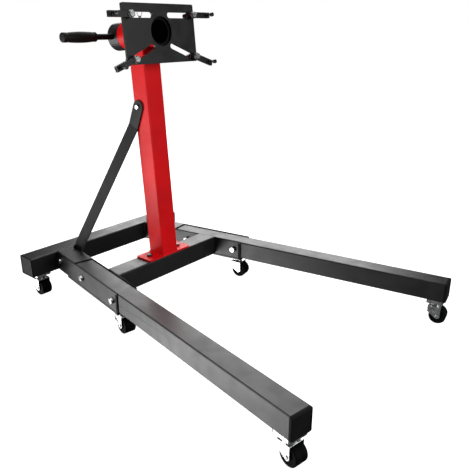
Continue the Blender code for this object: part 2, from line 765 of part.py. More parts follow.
def caster_plate_mesh(packing):
    """A screwed plate with a ball race under it. Packing is how much thicker it is to reach its tube."""
    outline = rounded_rectangle(CASTER_PLATE, CASTER_PLATE, 0.005)
    thickness = CASTER_PLATE_THICKNESS + packing
    plate = pattern("caster_plate", extruded("caster_plate", [outline], thickness))
    underside = CASTER_HEIGHT - GAP - CASTER_PLATE_THICKNESS
    plate.data.transform(Matrix.Translation((0, 0, underside + thickness / 2)))
    reach = CASTER_PLATE / 2 - 0.007
    hole = cylinder("screw_hole", 0.0033, 0.05, segments=8)
    for x in (-reach, reach):
        for y in (-reach, reach):
            cut(plate, hole, location=(x, y, underside))
    lap = 0.001
    height = underside - FORK_TOP - GAP + lap
    race = turned(
        "race",
        [(0.0195, height / 2), (0.0195, 0.001), (0.0150, -height / 2), (0.0, -height / 2), (0.0, height / 2)],
        steps=20,
    )
    join(plate, race, location=(0, 0, underside + lap - height / 2))
    return smooth(evaluated_mesh(plate, "caster_plate"))


def caster_fork_mesh():
    """The fork in the caster's frame: floor at Z = 0, swivel axis at X = Y = 0."""
    sheet = 0.0025
    rear, front = 0.017, -WHEEL_TRAIL - 0.0085
    inner = WHEEL_WIDTH / 2 + 0.001
    width = 2 * (inner + sheet)
    crown = box("fork_crown", (width, rear - front, sheet))
    crown.transform(Matrix.Translation((0, (rear + front) / 2, FORK_TOP - sheet / 2)))
    fork = pattern("caster_fork", crown)
    cheek = [(rear, FORK_TOP), (front, FORK_TOP)]
    cheek += arc((-WHEEL_TRAIL, WHEEL_RADIUS), 0.0085, 180, 306, 6) + [(rear, WHEEL_RADIUS + 0.0115)]
    cheek_mesh = extruded("fork_cheek", [cheek], sheet, "X")
    axle_head = cylinder("axle_head", 0.0045, 0.0028, "X", 10)
    for side in SIDES.values():
        join(fork, cheek_mesh, location=(side * (inner + sheet / 2), 0, 0))
        place = (side * (width / 2 + 0.001), -WHEEL_TRAIL, WHEEL_RADIUS)
        join(fork, axle_head, location=place)
    axle = cylinder("axle", 0.004, width - 0.001, "X", 10)
    join(fork, axle, location=(0, -WHEEL_TRAIL, WHEEL_RADIUS))
    return smooth(evaluated_mesh(fork, "caster_fork"))


def caster_wheel_mesh():
    half = WHEEL_WIDTH / 2
    edge = 0.0016
    profile = [
        (WHEEL_RADIUS - edge, half),
        (WHEEL_RADIUS, half - edge),
        (WHEEL_RADIUS, edge - half),
        (WHEEL_RADIUS - edge, -half),
        (0.0045, -half),
        (0.0045, half),
    ]
    return turned("caster_wheel", profile, "X", 24)


def make_casters(leg_pivots):
    """Six casters, square to the tube each one is under."""
    fork, wheel = caster_fork_mesh(), caster_wheel_mesh()
    undersides = {"rear": FRAME_BOTTOM, "mid": FRAME_BOTTOM - FLOOR_PLATE, "front": LEG_BOTTOM}
    for position, underside in undersides.items():
        plate = caster_plate_mesh(underside - CASTER_HEIGHT)
        for label, side in SIDES.items():
            if position == "rear":
                spot, turn = Vector((side * REAR_CASTER_X, REAR_FACE_Y + FRAME_TUBE / 2, 0)), 0.0
            else:
                distance = MID_CASTER if position == "mid" else FRONT_CASTER
                spot, turn = rail_point(side, distance, 0, 0), side * SPLAY
            name = f"caster_{position}_{label}"
            swivel = add_empty(f"{name}_swivel", spot, (0, 0, turn))
            if position == "front":
                bpy.context.view_layer.update()
                swivel.parent = leg_pivots[label]
                swivel.matrix_parent_inverse = leg_pivots[label].matrix_world.inverted()
            add_part(f"{name}_plate", plate, ZINC, swivel)
            add_part(f"{name}_fork", fork, ZINC, swivel)
            add_part(f"{name}_wheel", wheel, RUBBER, swivel, (0, -WHEEL_TRAIL, WHEEL_RADIUS))


world = add_empty("stand", (0, 0, 0))
frames = {}
for label, side in SIDES.items():
    place, turn = rail_frame(side)
    frames[label] = add_empty(f"rail_frame_{label}", place, turn)

make_rear_crossbeam()
make_front_crossbeam()
pivots = {}
for label, side in SIDES.items():
    make_side_rail(label, side)
    pivots[label] = make_leg(label, side)
    make_leg_bolts(label, side)
    make_brace(label, side)
post_foot = make_post()
make_base_bolts()
make_brace_bolts()
make_head(post_foot)
make_casters(pivots)
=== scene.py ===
"""Looks of a folding engine stand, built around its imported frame.

Metres, +Z up. The legs point to -Y and left is -X.
Pieces are placed from the frame's nodes, joints and mounts.
"""

import json
import math
from collections import namedtuple

import bmesh
import bpy
import numpy as np
from mathutils import Matrix, Vector

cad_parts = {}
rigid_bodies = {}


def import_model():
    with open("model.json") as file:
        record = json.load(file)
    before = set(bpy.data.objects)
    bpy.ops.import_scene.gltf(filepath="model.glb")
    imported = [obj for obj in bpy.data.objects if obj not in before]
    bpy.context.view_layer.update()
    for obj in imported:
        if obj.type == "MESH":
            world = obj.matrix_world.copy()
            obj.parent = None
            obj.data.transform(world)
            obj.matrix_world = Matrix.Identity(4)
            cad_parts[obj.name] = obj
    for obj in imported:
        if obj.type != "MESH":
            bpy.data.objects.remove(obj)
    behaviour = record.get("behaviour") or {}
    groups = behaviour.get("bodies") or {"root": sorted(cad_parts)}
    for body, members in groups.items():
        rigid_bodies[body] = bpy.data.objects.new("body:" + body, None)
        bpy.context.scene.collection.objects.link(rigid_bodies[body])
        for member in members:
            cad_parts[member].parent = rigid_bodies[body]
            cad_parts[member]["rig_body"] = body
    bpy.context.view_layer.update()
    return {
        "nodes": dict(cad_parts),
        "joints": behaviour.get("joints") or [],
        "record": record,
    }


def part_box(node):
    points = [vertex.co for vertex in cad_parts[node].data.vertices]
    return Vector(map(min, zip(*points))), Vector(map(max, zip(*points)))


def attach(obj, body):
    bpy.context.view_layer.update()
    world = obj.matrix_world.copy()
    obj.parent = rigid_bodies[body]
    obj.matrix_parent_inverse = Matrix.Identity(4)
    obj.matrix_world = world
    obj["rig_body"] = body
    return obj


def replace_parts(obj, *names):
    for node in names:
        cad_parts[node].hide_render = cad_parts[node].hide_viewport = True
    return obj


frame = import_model()
nodes = frame["nodes"]
joints = {joint["name"]: joint for joint in frame["joints"]}
mounts = {mount["name"]: mount for mount in frame["record"]["mounts"]}

SIDES = {"left": -1, "right": 1}
LEVELS = ("upper", "lower")
CASTERS = ("rear", "mid", "front")
RIGHT = Vector((1, 0, 0))
UP = Vector((0, 0, 1))
CORNERS = ((-1, -1), (1, -1), (1, 1), (-1, 1))
GAP = 0.0003

# Steel sizes that the boxes of the frame's nodes don't give
FRAME_TUBE = 0.066
POST_TUBE = 0.065
BASE_PLATE = 0.005
ARM_STANDOFF = 0.010

# Bolts: across flats, head height, shank radius, nut height, and the thread that shows past the nut
Bolt = namedtuple("Bolt", "flats head radius nut tail")
M8 = Bolt(flats=0.013, head=0.0055, radius=0.004, nut=0.0065, tail=0.003)
M10 = Bolt(flats=0.016, head=0.0065, radius=0.005, nut=0.008, tail=0.003)
M12 = Bolt(flats=0.018, head=0.0075, radius=0.006, nut=0.010, tail=0.004)
CLAMP = Bolt(flats=0.017, head=0.0065, radius=0.006, nut=0.010, tail=0.004)
CLAMP_WASHER = 0.002
WASHER_TO_FLATS = 0.62
THREAD_PITCH = 0.0015
THREAD_ROOT = 0.9
WASHER_GAP = 0.0001

# Points round a ring
BOLT_STEPS = 24
FINE_STEPS = 32
PULL_RING_STEPS = 40
WHEEL_STEPS = 72
GRIP_STEPS = 72

# Caster screws. The shares are of the distance from the swivel's axis to the plate's corners:
# where a screw sits, and past which a point of the mesh belongs to a corner.
SCREW_FLATS = 0.008
SCREW_HEAD = 0.0028
SCREW_SHARE = 0.76
CORNER_SHARE = 0.95

# Tube end caps
CAP_CORNER = 0.0035
CAP_PLUG = 0.014

# Handle grip. The barrel's start and end are measured from the grip's own ends.
GRIP_STATIONS = 24
BARREL_START = 0.0062
BARREL_END = 0.0160
FLUTES = 18
FLUTE_DEPTH = 0.00035

# Lock pin and its pull ring
PIN_RADIUS = 0.004
RING_RADIUS = 0.009
RING_WIRE = 0.0011
RING_BITE = 0.0009

# Welds
WELD_RADIUS = 0.0022
WELD_PITCH = 0.0016
WELD_RIPPLE = 0.22
WELD_INSET = 0.0025

# Strips at the rail ends, painted shade for the dark slit there: how far they stay from the rail's end,
# bottom and top
STRIP_WIDTH = 0.0085
STRIP_THICKNESS = 0.0007
STRIP_FROM_END = 0.0002
STRIP_FROM_BOTTOM = 0.001
STRIP_FROM_TOP = 0.007

# Brace lugs, and the black patches of painted shade in the arm ends: width, height and thickness
BRACE_LUG = (0.034, 0.012, 0.005)
LUG_BOLT_FROM_END = 0.007
LUG_BOLT_FLATS = 0.010
LUG_BOLT_HEIGHT = 0.006
ARM_END_SHADE = (0.0066, 0.0118, 0.0004)

# Edges
SMOOTH_ANGLE = math.radians(32)
BEVEL_ANGLE = math.radians(40)
BEVEL_WIDTH = 0.0006
MERGE_DISTANCE = 0.00002
SLAB_CHAMFER = 0.0004

# Camera, floor and light. A softbox has its place, the length of its side, and its power in watts.
CAMERA_PLACE = (-1.1706, -1.0566, 0.8491)
CAMERA_PITCH = math.radians(90 - 20.53)
CAMERA_TURN = math.radians(-49.94)
CAMERA_LENS = 42.77
CAMERA_SENSOR = 36
FLOOR_RADIUS = 14
FLOOR_DROP = 0.0002
FLOOR_GLOW = 0.97
AMBIENT = 0.08
LIGHT_TARGET = Vector((0, 0, 0.35))
SOFTBOXES = {
    "left_softbox": ((-2.5, 2.1, -1.0), 2.8, 148),
    "back_softbox": ((2.3, 1.8, 1.9), 2.7, 95),
    "top_softbox": ((-0.6, 0.6, 3.0), 2.4, 30),
    "front_fill": ((0.6, -3.2, 1.2), 2.6, 74),
}

# Texture ranges: where most noise lies, and the dot of true and rounded normals on a flat and on an edge
NOISE_LOW = 0.3
NOISE_HIGH = 0.7
DOT_ON_FLAT = 0.995
DOT_ON_EDGE = 0.80


# Materials


class Recipe:
    """A Principled material whose colour, roughness and bump come from procedural textures."""

    def __init__(self, name, metallic=0.0, specular=0.5):
        self.material = bpy.data.materials.new(name)
        self.material.use_nodes = True
        self.tree = self.material.node_tree
        self.shader = self.tree.nodes["Principled BSDF"]
        self.shader.inputs["Metallic"].default_value = metallic
        self.shader.inputs["Specular IOR Level"].default_value = specular
        self.place = self.add("ShaderNodeTexCoord").outputs["Object"]

    def add(self, kind, **settings):
        node = self.tree.nodes.new(kind)
        for key, value in settings.items():
            setattr(node, key, value)
        return node

    def link(self, source, target):
        self.tree.links.new(source, target)

    def noise(self, scale, detail=2.0):
        node = self.add("ShaderNodeTexNoise")
        node.inputs["Scale"].default_value = scale
        node.inputs["Detail"].default_value = detail
        self.link(self.place, node.inputs["Vector"])
        return node.outputs["Fac"]

    def cells(self, scale):
        node = self.add("ShaderNodeTexVoronoi")
        node.inputs["Scale"].default_value = scale
        self.link(self.place, node.inputs["Vector"])
        return node.outputs["Distance"]

    def ramp(self, source, stops):
        """Colours blended by source; stops are (position, colour)."""
        node = self.add("ShaderNodeValToRGB")
        elements = node.color_ramp.elements
        for element, (position, colour) in zip(elements, (stops[0], stops[-1])):
            element.position = position
            element.color = (*colour, 1)
        for position, colour in stops[1:-1]:
            elements.new(position).color = (*colour, 1)
        self.link(source, node.inputs["Fac"])
        return node.outputs["Color"]

    def spread(self, source, low, high):
        """Noise stretched to run from low to high."""
        node = self.add("ShaderNodeMapRange")
        node.inputs["From Min"].default_value = NOISE_LOW
        node.inputs["From Max"].default_value = NOISE_HIGH
        node.inputs["To Min"].default_value = low
        node.inputs["To Max"].default_value = high
        self.link(source, node.inputs["Value"])
        return node.outputs["Result"]

    def edges(self, radius):
        """1 on an outside or inside edge and 0 on a flat, from how far rounding bends the normal."""
        rounded = self.add("ShaderNodeBevel", samples=4)
        rounded.inputs["Radius"].default_value = radius
        facing = self.add("ShaderNodeNewGeometry").outputs["Normal"]
        dot = self.add("ShaderNodeVectorMath", operation="DOT_PRODUCT")
        self.link(rounded.outputs["Normal"], dot.inputs[0])
        self.link(facing, dot.inputs[1])
        node = self.add("ShaderNodeMapRange")
        node.inputs["From Min"].default_value = DOT_ON_FLAT
        node.inputs["From Max"].default_value = DOT_ON_EDGE
        self.link(dot.outputs["Value"], node.inputs["Value"])
        return node.outputs["Result"]

    def mix(self, factor, first, second_colour):
        node = self.add("ShaderNodeMix", data_type="RGBA")
        self.link(factor, node.inputs["Factor"])
        self.link(first, node.inputs["A"])
        node.inputs["B"].default_value = (*second_colour, 1)
        return node.outputs["Result"]

    def multiply(self, first, second):
        node = self.add("ShaderNodeMath", operation="MULTIPLY")
        self.link(first, node.inputs[0])
        self.link(second, node.inputs[1])
        return node.outputs["Value"]

    def bump(self, layers):
        """Layers are (height, strength, distance), from coarse to fine."""
        normal = None
        for height, strength, distance in layers:
            node = self.add("ShaderNodeBump")
            node.inputs["Strength"].default_value = strength
            node.inputs["Distance"].default_value = distance
            self.link(height, node.inputs["Height"])
            if normal:
                self.link(normal, node.inputs["Normal"])
            normal = node.outputs["Normal"]
        self.link(normal, self.shader.inputs["Normal"])

    def finish(self, colour, roughness):
        self.link(colour, self.shader.inputs["Base Color"])
        self.link(roughness, self.shader.inputs["Roughness"])
        return self.material


def scaled(colour, factor):
    return tuple(min(1.0, channel * factor) for channel in colour)


def powder_coat(name, colour, roughness, specular, worn):
    """Baked powder coat: orange peel, slow drift in tone, and a thin rubbed line along the edges."""
    coat = Recipe(name, specular=specular)
    tone = coat.ramp(coat.noise(7), [(0.3, scaled(colour, 0.86)), (0.7, scaled(colour, 1.12))])
    rubbed = coat.multiply(coat.edges(0.0010), coat.spread(coat.noise(60, 4), 0.0, 0.40))
    tone = coat.mix(rubbed, tone, worn)
    coat.bump([(coat.noise(420), 0.10, 0.0004), (coat.noise(1700), 0.12, 0.0001)])
    return coat.finish(tone, coat.spread(coat.noise(25, 5), roughness - 0.05, roughness + 0.07))


def zinc_plate(name):
    """Zinc plate: faint spangle with a little yellow and blue in it, and a fine grain."""
    zinc = Recipe(name, metallic=1.0)
    tones = [(0.25, (0.55, 0.55, 0.53)), (0.5, (0.64, 0.65, 0.66)), (0.8, (0.72, 0.72, 0.71))]
    tone = zinc.ramp(zinc.noise(90, 3), tones)
    zinc.bump([(zinc.cells(500), 0.06, 0.0002), (zinc.noise(2500), 0.08, 0.0001)])
    return zinc.finish(tone, zinc.spread(zinc.noise(140, 4), 0.20, 0.34))


def moulded(name, colour, roughness, grain, depth, specular=0.20):
    """Moulded plastic or rubber with an even grain and a little dust in it."""
    skin = Recipe(name, specular=specular)
    tone = skin.ramp(skin.noise(30, 4), [(0.35, colour), (0.75, scaled(colour, 1.7))])
    skin.bump([(skin.noise(grain / 4), 0.08, 2 * depth), (skin.cells(grain), 0.30, depth)])
    return skin.finish(tone, skin.spread(skin.noise(80), roughness, roughness + 0.12))


BLACK = powder_coat("black_powder_coat", (0.011, 0.011, 0.0115), 0.36, 0.42, worn=(0.055, 0.055, 0.058))
RED = powder_coat("red_powder_coat", (0.80, 0.0035, 0.007), 0.38, 0.15, worn=(0.80, 0.06, 0.06))
# Painted light: the braces get a lighter, rougher copy of the black coat, so that they read evenly lit
# across their bend.
BRACE = powder_coat("brace_black_coat_painted_lighter", (0.030, 0.030, 0.031), 0.62, 0.22, worn=(0.075, 0.075, 0.078))
# Also painted shade: this darkest, dullest black stands for the shade in the spindle's bore and for the
# contact shadow at the brace's foot.
MATTE_AND_SHADE = powder_coat("matte_black_coat_and_painted_shade", (0.004, 0.004, 0.004), 0.52, 0.08, worn=(0.030, 0.030, 0.031))
ZINC = zinc_plate("bright_zinc")
# Black oxide; on the post's base bolts this dark coat is also painted reflection, standing for the dark
# surroundings that the bolts reflect.
OXIDE_AND_SHADE = powder_coat("black_oxide", (0.016, 0.015, 0.015), 0.30, 0.60, worn=(0.13, 0.12, 0.12))
PLASTIC = moulded("black_moulded_plastic", (0.006, 0.006, 0.006), 0.50, 1500, 0.0001, specular=0.08)
GRIP = moulded("grip_rubber", (0.007, 0.007, 0.007), 0.52, 900, 0.0002)
TREAD = moulded("wheel_rubber", (0.0025, 0.0025, 0.0025), 0.58, 1200, 0.0001, specular=0.04)

# The usual material of each of the record's slots
COATS = {
    "black_coat": BLACK,
    "red_coat": RED,
    "zinc": ZINC,
    "dark_oxide": OXIDE_AND_SHADE,
    "black_plastic": PLASTIC,
    "rubber": TREAD,
}


# Reading the frame


def joint_axis(name):
    return Vector(joints[name]["axis"]).normalized()


def joint_place(name):
    return Vector(joints[name]["pos_m"])


def leg_directions(side):
    """The level axis that a leg folds about, and the direction in which the leg points."""
    axis = joint_axis(f"leg_fold_{side}")
    return axis, UP.cross(axis).normalized()


def tallness(node):
    low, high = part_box(node)
    return high.z - low.z


def span(node, direction):
    """How far along direction the node's lowest and highest points are."""
    points = np.array([vertex.co for vertex in nodes[node].data.vertices])
    reach = points @ np.array(direction)
    return float(reach.min()), float(reach.max())


def axis_centre(node, direction):
    """The point of a round node's axis that is level with the frame's origin along direction."""
    first = direction.orthogonal().normalized()
    second = direction.cross(first)
    return sum((sum(span(node, d)) / 2 * d for d in (first, second)), Vector((0, 0, 0)))


def axis_frame(place, direction):
    """A matrix at place with +Z along direction."""
    return Matrix.Translation(place) @ direction.to_track_quat("Z", "Y").to_matrix().to_4x4()


# Shapes


def at_angle(radius, angle, height):
    return Vector((radius * math.cos(angle), radius * math.sin(angle), height))


def ring(radius, height, steps=BOLT_STEPS):
    return [at_angle(radius, math.tau * i / steps, height) for i in range(steps)]


def hexagon(flats, height):
    """Points round a hexagon, as many as a ring has, so that the two can be skinned."""
    points = []
    for i in range(BOLT_STEPS):
        angle = math.tau * i / BOLT_STEPS
        off = (angle + math.pi / 6) % (math.pi / 3) - math.pi / 6
        points.append(at_angle(flats / 2 / math.cos(off), angle, height))
    return points


def square(side, corner, height, steps=5):
    """Points round a square with rounded corners."""
    points = []
    for quarter in range(4):
        x = -1 if quarter in (1, 2) else 1
        y = -1 if quarter in (2, 3) else 1
        middle = Vector((x, y, 0)) * (side / 2 - corner)
        for i in range(steps):
            points.append(middle + at_angle(corner, math.pi / 2 * (quarter + i / (steps - 1)), height))
    return points


def hex_rings(flats, start, end):
    """A hexagon from start to end, with the usual round chamfer at its outer end."""
    rise = 0.18 * (end - start)
    sides = [hexagon(flats, start), hexagon(flats, end - rise)]
    return sides + [ring(0.475 * flats, end), ring(0.2 * flats, end)]


def threads(start, end, radius):
    """A threaded length as a stack of ridges."""
    count = max(2, round(abs(end - start) / THREAD_PITCH))
    rings = [ring(radius * THREAD_ROOT, start)]
    for i in range(count):
        rings.append(ring(radius, start + (end - start) * (i + 0.5) / count))
        rings.append(ring(radius * THREAD_ROOT, start + (end - start) * (i + 1) / count))
    return rings


def loft(bm, rings, closed=False):
    """Skins rings of equal length. The first and last get a face each, unless closed joins them up."""
    loops = [[bm.verts.new(point) for point in points] for points in rings]
    following = loops[1:] + loops[:1] if closed else loops[1:]
    for lower, upper in zip(loops, following):
        for i in range(len(lower)):
            j = (i + 1) % len(lower)
            bm.faces.new((lower[i], lower[j], upper[j], upper[i]))
    if not closed:
        bm.faces.new(loops[0][::-1])
        bm.faces.new(loops[-1])


def tube_along(bm, points, radius, steps=10, ripple=0.0, closed=False):
    """A tube through points. Ripple swells it at every second point, as a weld's ridges do."""
    loops = []
    count = len(points)
    for i, point in enumerate(points):
        before = points[i - 1] if i or closed else point
        after = points[(i + 1) % count] if i + 1 < count or closed else point
        along = (after - before).normalized()
        first = along.orthogonal().normalized() if abs(along.z) > 0.9 else along.cross(UP).normalized()
        second = along.cross(first)
        size = radius * (1 + ripple * (i % 2))
        turns = (math.tau * j / steps for j in range(steps))
        loops.append([point + size * (math.cos(a) * first + math.sin(a) * second) for a in turns])
    loft(bm, loops, closed=closed)


def slab(bm, centre, across, up, out, sizes):
    """A flat block with a small chamfer round its outer face; sizes are its width, height and thickness."""
    width, height, depth = sizes
    chamfer = min(SLAB_CHAMFER, depth / 2)
    rings = []
    for shrink, level in ((0.0, 0.0), (0.0, depth - chamfer), (chamfer, depth)):
        w = width / 2 - shrink
        h = height / 2 - shrink
        rings.append([centre + x * w * across + z * h * up + level * out for x, z in CORNERS])
    loft(bm, rings)


def piece(name, bm, place, body, slot, coat=None):
    """Turns bm into an object that rides on body. Its material is coat, or else the slot's usual one."""
    bmesh.ops.recalc_face_normals(bm, faces=bm.faces)
    mesh = bpy.data.meshes.new(name)
    bm.to_mesh(mesh)
    bm.free()
    mesh.shade_smooth()
    mesh.set_sharp_from_angle(angle=SMOOTH_ANGLE)
    mesh.materials.append(coat or COATS[slot])
    obj = bpy.data.objects.new(name, mesh)
    bpy.context.scene.collection.objects.link(obj)
    obj.matrix_world = place
    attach(obj, body)
    return obj


def stand_in(node, label, bm, place, slot, coat=None):
    """A piece that rides with a frame node and is shown instead of it."""
    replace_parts(piece(f"{node}_{label}", bm, place, body_of(node), slot, coat), node)


def body_of(node):
    return nodes[node]["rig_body"]


# Pieces that stand for a frame node


def make_head(node, direction, flats, head, washer=0.0):
    """A hexagonal head or nut at the node's far end along direction, on a washer if one is given."""
    high = span(node, direction)[1]
    seat = high - head
    bm = bmesh.new()
    loft(bm, hex_rings(flats, seat, high))
    if washer:
        radius = WASHER_TO_FLATS * flats
        loft(bm, [ring(radius, height, FINE_STEPS) for height in (seat - washer, seat - WASHER_GAP)])
    stand_in(node, "head", bm, axis_frame(axis_centre(node, direction), direction), "zinc")


def make_clamp_tail(node, direction):
    """The dark nut and threaded end behind the head plate, and the shank between nut and washer."""
    low, high = span(node, direction)
    seat = low + CLAMP.tail
    bm = bmesh.new()
    loft(bm, hex_rings(CLAMP.flats, seat + CLAMP.nut, seat))
    loft(bm, threads(low, seat, CLAMP.radius))
    loft(bm, [ring(CLAMP.radius, seat + CLAMP.nut), ring(CLAMP.radius, high - CLAMP.head - CLAMP_WASHER)])
    stand_in(node, "tail", bm, axis_frame(axis_centre(node, direction), direction), "dark_oxide")


def make_bolt(node, direction, bolt, slot="zinc"):
    """A bolt that runs right through, with its nut on the end away from direction."""
    low, high = span(node, direction)
    seat = low + bolt.tail
    bm = bmesh.new()
    loft(bm, hex_rings(bolt.flats, high - bolt.head, high))
    loft(bm, hex_rings(bolt.flats, seat + bolt.nut, seat))
    loft(bm, threads(low, seat, bolt.radius))
    loft(bm, [ring(bolt.radius, seat + bolt.nut), ring(bolt.radius, high - bolt.head)])
    stand_in(node, "detail", bm, axis_frame(axis_centre(node, direction), direction), slot)


def make_bolts():
    front = -joint_axis("head_turn")
    make_bolt("brace_top_bolt", -RIGHT, M8)
    for side, sign in SIDES.items():
        outward = sign * -joint_axis(f"leg_fold_{side}")
        make_head(f"leg_lock_bolt_head_{side}", outward, M12.flats, M12.head)
        make_head(f"leg_lock_bolt_nut_{side}", -outward, M12.flats, M12.nut)
        make_bolt(f"leg_pivot_bolt_{side}", outward, M12)
        make_bolt(f"brace_foot_bolt_{side}", outward, M8)
        # Painted reflection: the post's base bolts get the dark coat for the dark surroundings they
        # reflect.
        make_bolt(f"post_base_bolt_{side}", UP, M10, "dark_oxide")
        for level in LEVELS:
            node = f"clamp_bolt_{level}_{side}"
            make_head(node, front, CLAMP.flats, CLAMP.head, washer=CLAMP_WASHER)
            make_clamp_tail(node, front)


def make_wheel(position, side):
    """A solid wheel with a rounded tread, a dished face and a raised hub.

    Its profile's points are a radius and a share of half the wheel's width.
    """
    node = f"caster_{position}_{side}_wheel"
    roll = f"roll_{position}_{side}"
    axis = joint_axis(roll)
    low, high = span(node, axis)
    half = (high - low) / 2
    radius = tallness(node) / 2
    hub = [(0.0046, 1.0), (0.0090, 1.0), (0.0098, 0.965), (0.0102, 0.90)]
    dish = [(0.0172, 0.88), (0.0186, 0.955), (radius - 0.0026, 0.975)]
    shoulder = [(radius - 0.0012, 0.95), (radius - 0.0003, 0.90), (radius, 0.84)]
    parting_line = [(radius, 0.05), (radius - 0.0004, 0.0), (radius, -0.05)]
    face = hub + dish + shoulder
    profile = face + parting_line + [(r, -share) for r, share in reversed(face)]
    bm = bmesh.new()
    loft(bm, [ring(r, share * half, WHEEL_STEPS) for r, share in profile], closed=True)
    stand_in(node, "detail", bm, axis_frame(joint_place(roll), axis), "rubber")


def make_cap(node, tube, forward):
    """A plugged tube end: a thin lip round a face that is set back, with a plug behind it.

    Its profile's points are a side length and a distance along forward.
    """
    side = tallness(node)
    front = span(node, forward)[1]
    back = span(tube, forward)[1] + GAP
    plug = [(side - 0.0072, back - CAP_PLUG), (side - 0.0066, back)]
    lip = [(side, back), (side, front - 0.0020), (side - 0.0016, front - 0.0007), (side - 0.0034, front)]
    face = [(side - 0.009, front), (side - 0.0104, front - 0.0014), (side - 0.022, front - 0.0016)]
    bm = bmesh.new()
    loft(bm, [square(size, min(CAP_CORNER, size / 8), height) for size, height in plug + lip + face])
    turn = Matrix((UP.cross(forward).normalized(), UP, forward)).transposed().to_4x4()
    stand_in(node, "detail", bm, Matrix.Translation(axis_centre(node, forward)) @ turn, "black_plastic")


def make_grip():
    """A moulded grip: a swelling barrel between two collars, ribbed lengthways by shallow flutes."""
    outward = -RIGHT
    start, end = span("handle_grip", outward)
    length = end - start
    radius = tallness("handle_grip") / 2
    neck = 0.83 * radius
    collar = 0.89 * radius
    barrel_end = length - BARREL_END
    stations = [(collar - 0.001, 0), (collar, 0.0012), (collar, 0.0045), (neck, BARREL_START)]
    for i in range(1, GRIP_STATIONS):
        share = i / GRIP_STATIONS
        swell = (radius - neck) * math.sin(math.pi * share) ** 0.7
        stations.append((neck + swell, BARREL_START + share * (barrel_end - BARREL_START)))
    stations += [(neck, barrel_end), (collar, length - 0.0142), (collar, length - 0.0022)]
    stations += [(collar - 0.0007, length - 0.0007), (collar - 0.0022, length)]
    rings = []
    for size, height in stations:
        points = ring(size, height, GRIP_STEPS)
        if BARREL_START < height < barrel_end:
            for i, point in enumerate(points):
                flute = FLUTE_DEPTH * (0.5 + 0.5 * math.cos(math.tau * FLUTES * i / GRIP_STEPS))
                point.xy *= 1 - flute / size
        rings.append(points)
    bm = bmesh.new()
    loft(bm, rings)
    middle = axis_centre("handle_grip", outward) + start * outward
    stand_in("handle_grip", "detail", bm, axis_frame(middle, outward), "black_plastic", GRIP)


def make_lock_pin():
    """A chamfered pin with a wire pull ring through its head."""
    axis = joint_axis("pin_slide")
    low, high = span("lock_pin", axis)
    top = high - 2 * RING_RADIUS + RING_BITE
    tip = [(PIN_RADIUS - 0.0009, low), (PIN_RADIUS, low + 0.001)]
    head = [(PIN_RADIUS, top - 0.0008), (PIN_RADIUS - 0.0008, top)]
    bm = bmesh.new()
    loft(bm, [ring(size, height, FINE_STEPS) for size, height in tip + head])
    centre = high - RING_RADIUS - RING_WIRE
    turns = (math.tau * i / PULL_RING_STEPS for i in range(PULL_RING_STEPS))
    points = [Vector((RING_RADIUS * math.cos(a), 0, centre + RING_RADIUS * math.sin(a))) for a in turns]
    tube_along(bm, points, RING_WIRE, closed=True)
    turn = Matrix((RIGHT, axis.cross(RIGHT), axis)).transposed().to_4x4()
    stand_in("lock_pin", "detail", bm, Matrix.Translation(axis_centre("lock_pin", axis)) @ turn, "zinc")


# Added detail


def weld(name, corners, slot, closed=True):
    """A weld bead with ridges along straight runs between corners."""
    points = []
    ends = corners[1:] + corners[:1] if closed else corners[1:]
    for start, end in zip(corners, ends):
        count = max(2, round((end - start).length / WELD_PITCH))
        points += [start.lerp(end, i / count) for i in range(count)]
    if not closed:
        points.append(corners[-1])
    bm = bmesh.new()
    tube_along(bm, points, WELD_RADIUS, ripple=WELD_RIPPLE, closed=closed)
    piece(name, bm, Matrix.Identity(4), "base", slot)


def make_post_welds():
    """A bead round the post where it meets its foot plate."""
    beam_low, beam_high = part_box("front_crossbeam")
    foot = Vector((0, (beam_low.y + beam_high.y) / 2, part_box("post")[0].z + BASE_PLATE))
    half = POST_TUBE / 2
    corners = [foot + Vector((x * half, y * half, 0)) for x, y in CORNERS]
    weld("post_foot_weld", corners, "red_coat")


def make_frame_welds():
    """A bead down each wall of a rail where it meets the rear crossbeam."""
    low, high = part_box("rear_crossbeam")
    for side, sign in SIDES.items():
        axis, forward = leg_directions(side)
        outward = sign * -axis
        for label, reach in (("outer", FRAME_TUBE / 2), ("inner", -FRAME_TUBE / 2)):
            wall = joint_place(f"leg_fold_{side}") + reach * outward
            spot = wall + forward * ((low.y - wall.y) / forward.y)
            corners = [Vector((spot.x, low.y, z)) for z in (low.z + WELD_INSET, high.z - WELD_INSET)]
            weld(f"rail_weld_{label}_{side}", corners, "black_coat", closed=False)


def make_caster_screws(position, side):
    """Four hexagonal screw heads under the corners of a caster's plate."""
    node = f"caster_{position}_{side}_plate"
    points = [vertex.co.copy() for vertex in nodes[node].data.vertices]
    middle = joint_place(f"swivel_{position}_{side}")
    reach = max((point - middle).xy.length for point in points)
    rim = [point for point in points if (point - middle).xy.length > CORNER_SHARE * reach]
    underside = min(point.z for point in rim)
    corner = (rim[0] - middle).xy * SCREW_SHARE
    head = hex_rings(SCREW_FLATS, 0.0, SCREW_HEAD)
    bm = bmesh.new()
    for _ in range(4):
        spot = Vector((middle.x + corner.x, middle.y + corner.y, underside))
        loft(bm, [[spot + Vector((x, y, -z)) for x, y, z in outline] for outline in head])
        corner = Vector((-corner.y, corner.x))
    piece(f"{node}_screws", bm, Matrix.Identity(4), body_of(node), "zinc")


